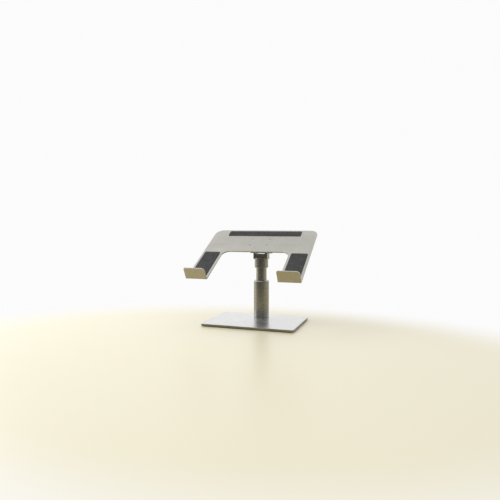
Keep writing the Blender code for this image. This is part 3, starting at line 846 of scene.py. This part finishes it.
skirt = turned(
    [
        (0, head_low.z, 0),
        (skirt_radius, head_low.z, SKIRT_FOOT),
        (skirt_radius, head_low.z + SKIRT_HEIGHT, SKIRT_SHOULDER),
        (0, head_low.z + SKIRT_HEIGHT, 0),
    ]
)
post_low = neck_high.z + POST_GAP
ALMOST_FULL = 0.9995  # two corners of the full radius would leave an edge of no length
post = cross_piece(
    [
        (-ear_radius, post_low, POST_CORNER),
        (ear_radius, post_low, POST_CORNER),
        (ear_radius, head_high.z, ear_radius * ALMOST_FULL),
        (-ear_radius, head_high.z, ear_radius * ALMOST_FULL),
    ],
    ear_outer,
    SIDE_EDGE,
)
slot_low = hinge_place.z - ear_radius - SLOT_CLEARANCE
slot = plate(
    Vector((-ear_inner, -2 * ear_radius, slot_low)),
    Vector((ear_inner, 2 * ear_radius, head_high.z + ear_radius)),
    0,
    0,
)
socket = moved(
    bar(neck_radius + NECK_CLEARANCE, 2 * (neck_high.z + NECK_CLEARANCE - head_low.z), 96),
    Matrix.Translation((0, 0, head_low.z)),
)
bolt_bore = moved(bar(BOLT_HOLE, 4 * ear_outer), hinge_axes)


def grub_axes(number):
    """Where a grub screw sits, with +Z pointing out of its hole."""
    low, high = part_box(f"grub_screw_{number}")
    middle = (low + high) / 2
    outward = math.atan2(middle.y, middle.x)
    turn = Matrix.Rotation(outward, 4, "Z") @ Matrix.Rotation(math.pi / 2, 4, "Y")
    return Matrix.Translation(middle) @ turn


GRUB_HOLE = 0.0028
GRUB_HOLE_LENGTH = 0.0085
grub_bores = [moved(bar(GRUB_HOLE, GRUB_HOLE_LENGTH, 40), grub_axes(number)) for number in (1, 2)]
forked = combined(post, [skirt], "UNION")
machined = combined(forked, [slot, socket, bolt_bore, *grub_bores], "DIFFERENCE")
finish_piece(
    "head_fork", machined, turned_metal, "satin_aluminium", "riser", "hinge_head"
)

# %% [markdown]
# ## Screws
#
# A screw is turned first and then has its hexagon socket pressed in. A socket has straight walls
# and a drilled point at the bottom, and the drill mark is what makes it read as a real screw.

# %% Screw maker
TRAY_SHANK = 0.002
TRAY_KEY = 0.00145
SHANK_CHAMFER = 0.0004
HEAD_RIM = 0.0002
RIM_EDGE = 0.00008
GRUB_KEY = 0.00125
GRUB_KEY_DEPTH = 0.002


def socket_cutter(radius, depth):
    """A hexagon key with a drill point below it, its top OVERCUT above the origin."""
    key = moved(bar(radius, depth + OVERCUT, 6), Matrix.Translation((0, 0, (OVERCUT - depth) / 2)))
    point = bmesh.new()
    bmesh.ops.create_cone(
        point, cap_ends=True, segments=32, radius1=0, radius2=radius * 0.86, depth=radius
    )
    bmesh.ops.translate(point, vec=(0, 0, -depth - radius * 0.49), verts=point.verts)
    return combined(key, [point], "UNION")


def countersunk_screw(head, shank, length, socket_radius):
    """Head up, its top face at height 0."""
    neck = -(head - shank)
    section = [
        (0, -length, 0),
        (shank, -length, SHANK_CHAMFER),
        (shank, neck, 0),
        (head, -HEAD_RIM, RIM_EDGE),
        (head, 0, RIM_EDGE),
        (0, 0, 0),
    ]
    return combined(turned(section, 64, 2), [socket_cutter(socket_radius, head * 0.4)], "DIFFERENCE")


for number in (1, 2, 3, 4):
    name = f"tray_screw_{number}"
    low, high = own_box(name, tray_axes)
    middle = (low + high) / 2
    screw = countersunk_screw((high.x - low.x) / 2, TRAY_SHANK, high.z - low.z, TRAY_KEY)
    seat = tray_axes @ Matrix.Translation((middle.x, middle.y, high.z))
    turn = Matrix.Rotation(0.4 * number, 4, "Z")
    finish_piece(
        f"tray_bolt_{number}", moved(screw, seat @ turn), zinc_steel, "zinc_steel", "tray", name
    )

for number in (1, 2):
    name = f"grub_screw_{number}"
    axes = grub_axes(number)
    low, high = own_box(name, axes)
    section = [
        (0, low.z, 0),
        (high.x, low.z, SHANK_CHAMFER),
        (high.x, high.z, SHANK_CHAMFER),
        (0, high.z, 0),
    ]
    grub = turned(section, 48, 2)
    key = moved(socket_cutter(GRUB_KEY, GRUB_KEY_DEPTH), Matrix.Translation((0, 0, high.z)))
    grub = combined(grub, [key], "DIFFERENCE")
    finish_piece(f"grub_{number}", moved(grub, axes), zinc_steel, "zinc_steel", "riser", name)

# %% [markdown]
# ## Hinge caps
#
# The bolt's head and nut hide under two moulded caps. Each has a soft rim and a shallow dish with a
# ring in its face, the mark of a part that was made to be pushed on with a thumb.

# %% Hinge caps
CAP_WALL = 0.0015
CAP_DISH = 0.0009
CAP_RIM = 0.0016
for side, sign in (("left", -1), ("right", 1)):
    low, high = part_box(f"hinge_cap_{side}")
    length = high.x - low.x
    radius = (high.z - low.z) / 2
    section = [
        (0, length - CAP_DISH, 0),
        (0, length - CAP_WALL, 0),
        (radius - CAP_WALL, length - CAP_WALL, 0.0008),
        (radius - CAP_WALL, 0, 0),
        (radius, 0, 0.0002),
        (radius, length, CAP_RIM),
        (radius * 0.62, length, 0.0005),
        (radius * 0.56, length - CAP_DISH, 0.0005),
    ]
    outward = Matrix.Rotation(sign * math.pi / 2, 4, "Y")
    inner_face = high.x if sign < 0 else low.x
    seat = Matrix.Translation((inner_face, hinge_place.y, hinge_place.z)) @ outward
    finish_piece(
        f"cap_{side}", moved(turned(section, 96), seat), nylon, "nylon", "riser", f"hinge_cap_{side}"
    )

# %% [markdown]
# ## The knuckle
#
# The tray's half of the hinge is a flange with a web and a barrel, joined from three simple shapes.
# It is made in the tray's own axes and turned into place at the end. The web is a hair shorter than
# the barrel, so that no two faces lie in one plane, which a Boolean can trip over.

# %% Tilt knuckle
flange_low, flange_high = own_box("tilt_knuckle", tray_axes)
FLANGE = 0.004
KNUCKLE_HALF = 0.0106
WEB_HALF = 0.009
WEB_INSET = 0.0002
FLANGE_CORNER = 0.005
FLANGE_EDGE = 0.0006
DRILL_DEPTH = 0.008
flange = plate(
    Vector((flange_low.x, flange_low.y, flange_high.z - FLANGE)), flange_high, FLANGE_CORNER, FLANGE_EDGE
)
web = cross_piece(
    [
        (-WEB_HALF, 0, 0),
        (WEB_HALF, 0, 0),
        (WEB_HALF, flange_high.z - FLANGE / 2, 0),
        (-WEB_HALF, flange_high.z - FLANGE / 2, 0),
    ],
    KNUCKLE_HALF - WEB_INSET,
    0,
)
along_hinge = Matrix.Rotation(math.pi / 2, 4, "Y")
barrel = turned(
    [
        (0, -KNUCKLE_HALF, 0),
        (ear_radius, -KNUCKLE_HALF, FLANGE_EDGE),
        (ear_radius, KNUCKLE_HALF, FLANGE_EDGE),
        (0, KNUCKLE_HALF, 0),
    ],
    96,
)
knuckle = combined(flange, [web, moved(barrel, along_hinge)], "UNION")
tray_holes = []
for number in (1, 2, 3, 4):
    low, high = own_box(f"tray_screw_{number}", tray_axes)
    middle = (low + high) / 2
    tray_holes.append((middle.x, middle.y, high.z, (high.x - low.x) / 2))


def tray_drills():
    """A countersunk cutter for each tray screw, in the tray's own axes."""
    drills = []
    for x, y, top, head in tray_holes:
        wide = head + HEAD_CLEARANCE
        thin = TRAY_SHANK + HEAD_CLEARANCE
        section = [
            (0, OVERCUT, 0),
            (0, -DRILL_DEPTH, 0),
            (thin, -DRILL_DEPTH, 0),
            (thin, thin - wide, 0),
            (wide, 0, 0),
            (wide, OVERCUT, 0),
        ]
        drills.append(moved(turned(section, 64), Matrix.Translation((x, y, top))))
    return drills


knuckle_bore = moved(bar(BOLT_HOLE, 4 * KNUCKLE_HALF), along_hinge)
knuckle = combined(knuckle, [knuckle_bore, *tray_drills()], "DIFFERENCE")
finish_piece(
    "hinge_flange",
    moved(knuckle, tray_axes),
    sheet_metal,
    "satin_aluminium",
    "tray",
    "tilt_knuckle",
)

# %% [markdown]
# ## The tray
#
# The tray is one 3 mm sheet, and it is made here as it is in a workshop. The blank is cut flat with
# its corners rounded, its edges are softened, and the front is folded up into the two lips. The
# fold is a plain rule for each point: what lies past the bend line is wound round the bend radius,
# and what lies past the bend goes straight up. The lips are the face the stand shows the world, so
# the bend has plenty of steps. The flat is also divided close round each screw hole: the brighter
# edges, partly wear and partly a painted highlight, are read from the mesh's corners, and without
# those cuts the brightening would run from hole to hole.

# %% Tray sheet
sheet_low, sheet_high = own_box("tray_plate", tray_axes)
SHEET = 0.003
ARM = 0.052
CROSS = 0.102
BEND = 0.004
BEND_STEPS = 14
SHEET_EDGE = 0.00045
LIP_TIGHT = 0.0035
LIP_ROUND = 0.008
NECK_CORNER = 0.018
REAR_CORNER = 0.020
SCREW_MARGIN = 0.0016

lip_height = sheet_high.z - sheet_low.z
tray_depth = sheet_high.y - sheet_low.y
bend_length = BEND * math.pi / 2
lip_end = BEND - bend_length - (lip_height - BEND)
half = sheet_high.x
arm_inner = half - ARM
blank_corners = [
    (-half, lip_end, LIP_TIGHT),
    (-arm_inner, lip_end, LIP_ROUND),
    (-arm_inner, tray_depth - CROSS, NECK_CORNER),
    (arm_inner, tray_depth - CROSS, NECK_CORNER),
    (arm_inner, lip_end, LIP_TIGHT),
    (half, lip_end, LIP_ROUND),
    (half, tray_depth, REAR_CORNER),
    (-half, tray_depth, REAR_CORNER),
]
blank = raised(rounded_face(blank_corners, steps=14), SHEET, SHEET_EDGE, 2)
for step in range(BEND_STEPS + 1):
    line = BEND - bend_length * step / BEND_STEPS
    everything = blank.verts[:] + blank.edges[:] + blank.faces[:]
    bmesh.ops.bisect_plane(blank, geom=everything, plane_co=(0, line, 0), plane_no=(0, 1, 0))
for vert in blank.verts:
    along, up = vert.co.y, vert.co.z
    angle = min(max((BEND - along) / bend_length, 0), 1) * math.pi / 2
    past = max(BEND - bend_length - along, 0)
    ahead = max(along - BEND, 0)
    vert.co.y = BEND - (BEND - up) * math.sin(angle) + ahead
    vert.co.z = BEND - (BEND - up) * math.cos(angle) + past
bmesh.ops.recalc_face_normals(blank, faces=blank.faces)
moved(blank, Matrix.Translation((0, sheet_low.y, sheet_low.z)))
around_holes = {
    (axis, round(hole[axis] + side * (hole[3] + SCREW_MARGIN), 6))
    for hole in tray_holes
    for axis in (0, 1)
    for side in (-1, 1)
}
for axis, cut in sorted(around_holes):
    direction = Vector((0, 0, 0))
    direction[axis] = 1
    everything = blank.verts[:] + blank.edges[:] + blank.faces[:]
    bmesh.ops.bisect_plane(blank, geom=everything, plane_co=direction * cut, plane_no=direction)
blank = combined(blank, tray_drills(), "DIFFERENCE")
finish_piece(
    "tray_sheet", moved(blank, tray_axes), sheet_metal, "satin_aluminium", "tray", "tray_plate"
)
print(f"lips {lip_height * 1000:.0f} mm high, tray {tray_depth * 1000:.0f} mm deep")

# %% [markdown]
# ## The laptop's pads
#
# Silicone sheets are stuck on the arms, behind the lips and along the rear edge. They are ribbed
# across the way the laptop would slide, which is also how they are most easily moulded.

# %% Pads on the tray
PAD_CORNER = 0.003
PAD_PITCH = 0.0036
PAD_RIB = 0.0022
PAD_RISE = 0.0004


def pad_in(axes, node):
    """A ribbed pad that fills the node's own box, measured and made along the given axes."""
    low, high = own_box(node, axes)
    pad, _ = ribbed_mat(low, high, PAD_CORNER, PAD_PITCH, PAD_RIB, PAD_RISE)
    return moved(pad, axes)


upright_axes = tray_axes @ Matrix.Rotation(-math.pi / 2, 4, "X")
for side in ("left", "right"):
    arm, lip = f"arm_pad_{side}", f"lip_pad_{side}"
    finish_piece(f"arm_mat_{side}", pad_in(tray_axes, arm), silicone, "silicone", "tray", arm)
    finish_piece(f"lip_mat_{side}", pad_in(upright_axes, lip), silicone, "silicone", "tray", lip)
finish_piece("rear_mat", pad_in(tray_axes, "rear_pad"), silicone, "silicone", "tray", "rear_pad")

# %% [markdown]
# ## What stays as it is
#
# The pieces inside the column and the hinge already have their right shapes and are hardly seen, so
# they keep their CAD solids and only take a finish.

# %% Finish the inner pieces
kept = {
    "base_screw_1": zinc_steel,
    "base_screw_2": zinc_steel,
    "base_screw_3": zinc_steel,
    "foot_plug": zinc_steel,
    "collar_sleeve": zinc_steel,
    "clamp_collet": nylon,
    "slide_bush": nylon,
    "hinge_bolt": zinc_across,
    "hinge_nut": zinc_across,
    "disc_spring_1": zinc_across,
    "disc_spring_2": zinc_across,
    "friction_washer_left": nylon,
    "friction_washer_right": nylon,
}
for name, material in kept.items():
    node = frame["nodes"][name]
    node.data.materials.clear()
    node.data.materials.append(material)
print("kept CAD pieces:", len(kept))

# %% [markdown]
# ## The studio
#
# Metal only looks like metal if it has something to reflect. The stand is on a cream sweep that
# fades to white, with a bright wall behind and a dim room in front. The room is the world's colour:
# it depends on the direction alone, bright to the rear, a little brighter to the left, dim to the
# front at eye level and lighter again overhead. What the camera sees past the floor is plain white.

# %% World
CEILING = (0.82, 0.82, 0.83)


def make_world():
    world = bpy.data.worlds.new("studio")
    bpy.context.scene.world = world
    world.use_nodes = True
    tree = world.node_tree
    tree.nodes.clear()
    direction = add(tree, "TexCoord").outputs["Generated"]
    parts = add(tree, "SeparateXYZ", {0: direction})
    rearward = remap(tree, parts.outputs["Y"], -1.0, 1.0, 0.0, 1.0)
    ramp = add(tree, "ValToRGB", {0: rearward})
    stops = [
        (0.0, (0.05, 0.05, 0.045)),
        (0.20, (0.09, 0.09, 0.08)),
        (0.36, (0.27, 0.27, 0.26)),
        (0.55, (0.42, 0.42, 0.41)),
        (0.80, (0.91, 0.92, 0.93)),
        (1.0, (0.99, 0.99, 0.99)),
    ]
    colours = ramp.color_ramp.elements
    while len(colours) < len(stops):
        colours.new(0.5)
    for element, (place, colour) in zip(colours, stops):
        element.position = place
        element.color = (*colour, 1)
    leftward = remap(tree, parts.outputs["X"], -1.0, 1.0, 1.35, 0.80)
    raised_up = remap(tree, parts.outputs["Z"], 0.22, 0.65, 0.0, 1.0)
    walls = blend(tree, raised_up, ramp.outputs["Color"], CEILING, "LIGHTEN")
    room = add(tree, "Background", {"Color": walls, "Strength": leftward})
    backdrop = add(tree, "Background", {"Color": (0.97, 0.97, 0.97, 1), "Strength": 1.0})
    seen = add(tree, "LightPath").outputs["Is Camera Ray"]
    mixed = add(tree, "MixShader", {0: seen, 1: room.outputs[0], 2: backdrop.outputs[0]})
    out = tree.nodes.new("ShaderNodeOutputWorld")
    tree.links.new(mixed.outputs[0], out.inputs["Surface"])


make_world()
bpy.context.scene.view_settings.view_transform = "Standard"
print("world ready")

# %% [markdown]
# The floor is a plain disc. Near the stand it is a warm cream with a slight sheen, and the camera
# sees it in a paler cream, a painted sheen, so that seen from low down it looks paler than it does
# from above, while the metal that faces down picks up the full warmth. Further off the camera sees it
# turn to the white of the backdrop, which hides the horizon. Reflections see the floor in front
# painted dim instead, a painted dark reflection, and that is what draws the dark middle of the column.

# %% Floor
FLOOR_RADIUS = 6.0
CREAM = (0.59, 0.49, 0.24)
# painted sheen: the camera sees the floor in this paler cream
CAMERA_SHEEN_TONE = (0.84, 0.78, 0.57)
# painted dark reflection: reflections see the floor in front this dim
PAINTED_DIM_REFLECTION = (0.08, 0.07, 0.05)
WHITE = (0.97, 0.97, 0.97)
POOL_CENTRE = (0.04, -0.34, 0.0)
POOL_WIDTH = 1.35


def make_floor():
    bm = bmesh.new()
    bmesh.ops.create_circle(bm, cap_ends=True, segments=96, radius=FLOOR_RADIUS)
    mesh = bpy.data.meshes.new("floor")
    bm.to_mesh(mesh)
    bm.free()
    material = bpy.data.materials.new("sweep")
    material.use_nodes = True
    tree = material.node_tree
    shader = tree.nodes["Principled BSDF"]
    shader.inputs["Roughness"].default_value = 0.36
    shader.inputs["IOR"].default_value = 1.9
    place = add(tree, "TexCoord").outputs["Object"]
    pool = {"Vector": place, "Location": POOL_CENTRE, "Scale": (POOL_WIDTH, 1, 1)}
    centred = add(tree, "Mapping", pool, vector_type="TEXTURE")
    distance = add(tree, "VectorMath", {0: centred.outputs[0]}, operation="LENGTH")
    forward = add(tree, "SeparateXYZ", {0: place}).outputs["Y"]
    # reflections see the floor painted dim in front: a painted dark reflection
    reflected_floor_tone = blend(tree, remap(tree, forward, -0.42, -0.24, 0.0, 1.0), PAINTED_DIM_REFLECTION, CREAM)
    far = {"Value": distance.outputs["Value"], "From Min": 0.36, "From Max": 0.58}
    fading = add(tree, "MapRange", far, interpolation_type="SMOOTHSTEP").outputs[0]
    seen = add(tree, "LightPath").outputs["Is Camera Ray"]
    # camera rays see the paler cream: a painted sheen
    tree.links.new(blend(tree, seen, reflected_floor_tone, CAMERA_SHEEN_TONE), shader.inputs["Base Color"])
    glow = add(tree, "Emission", {"Color": (*WHITE, 1), "Strength": 1.0})
    whitened = add(tree, "Math", {0: fading, 1: seen}, operation="MULTIPLY").outputs[0]
    mixed = add(tree, "MixShader", {0: whitened, 1: shader.outputs[0], 2: glow.outputs[0]})
    tree.links.new(mixed.outputs[0], tree.nodes["Material Output"].inputs["Surface"])
    mesh.materials.append(material)
    floor = bpy.data.objects.new("floor", mesh)
    bpy.context.scene.collection.objects.link(floor)


make_floor()
print("floor ready")

# %% [markdown]
# Two big soft lamps finish the light: one overhead, forward and to the left, where the tray doesn't
# mirror it to the camera, and one low at the left for the column's bright edge.

# %% Lamps
def soft_lamp(name, place, aim, size, watts, colour):
    lamp = bpy.data.lights.new(name, "AREA")
    lamp.shape = "RECTANGLE"
    lamp.size, lamp.size_y = size
    lamp.energy = watts
    lamp.color = colour
    holder = bpy.data.objects.new(name, lamp)
    holder.location = place
    holder.rotation_euler = (Vector(aim) - Vector(place)).to_track_quat("-Z", "Y").to_euler()
    holder.visible_camera = False
    bpy.context.scene.collection.objects.link(holder)


soft_lamp("top_lamp", (-1.6, -0.4, 1.4), (0, -0.1, 0.1), (1.4, 1.4), 15, (1.0, 0.99, 0.97))
soft_lamp("left_lamp", (-1.7, 0.1, 0.7), (0, 0, 0.1), (0.9, 1.2), 3, (0.97, 0.98, 1.0))
print("lamps ready")

# %% [markdown]
# ## The camera
#
# The camera looks from a seated person's eye, a little to the right of the stand's centre line and
# almost level, with a normal lens.

# %% Camera
EYE = Vector((0.3569, -1.1378, 0.2418))
AZIMUTH = math.radians(18.8)
LOOK_DOWN = math.radians(3.15)
lens = bpy.data.cameras.new("eye")
lens.sensor_width = 36
lens.lens = 34.17
camera = bpy.data.objects.new("eye", lens)
camera.location = EYE
camera.rotation_euler = (math.pi / 2 - LOOK_DOWN, 0, AZIMUTH)
bpy.context.scene.collection.objects.link(camera)
bpy.context.scene.camera = camera
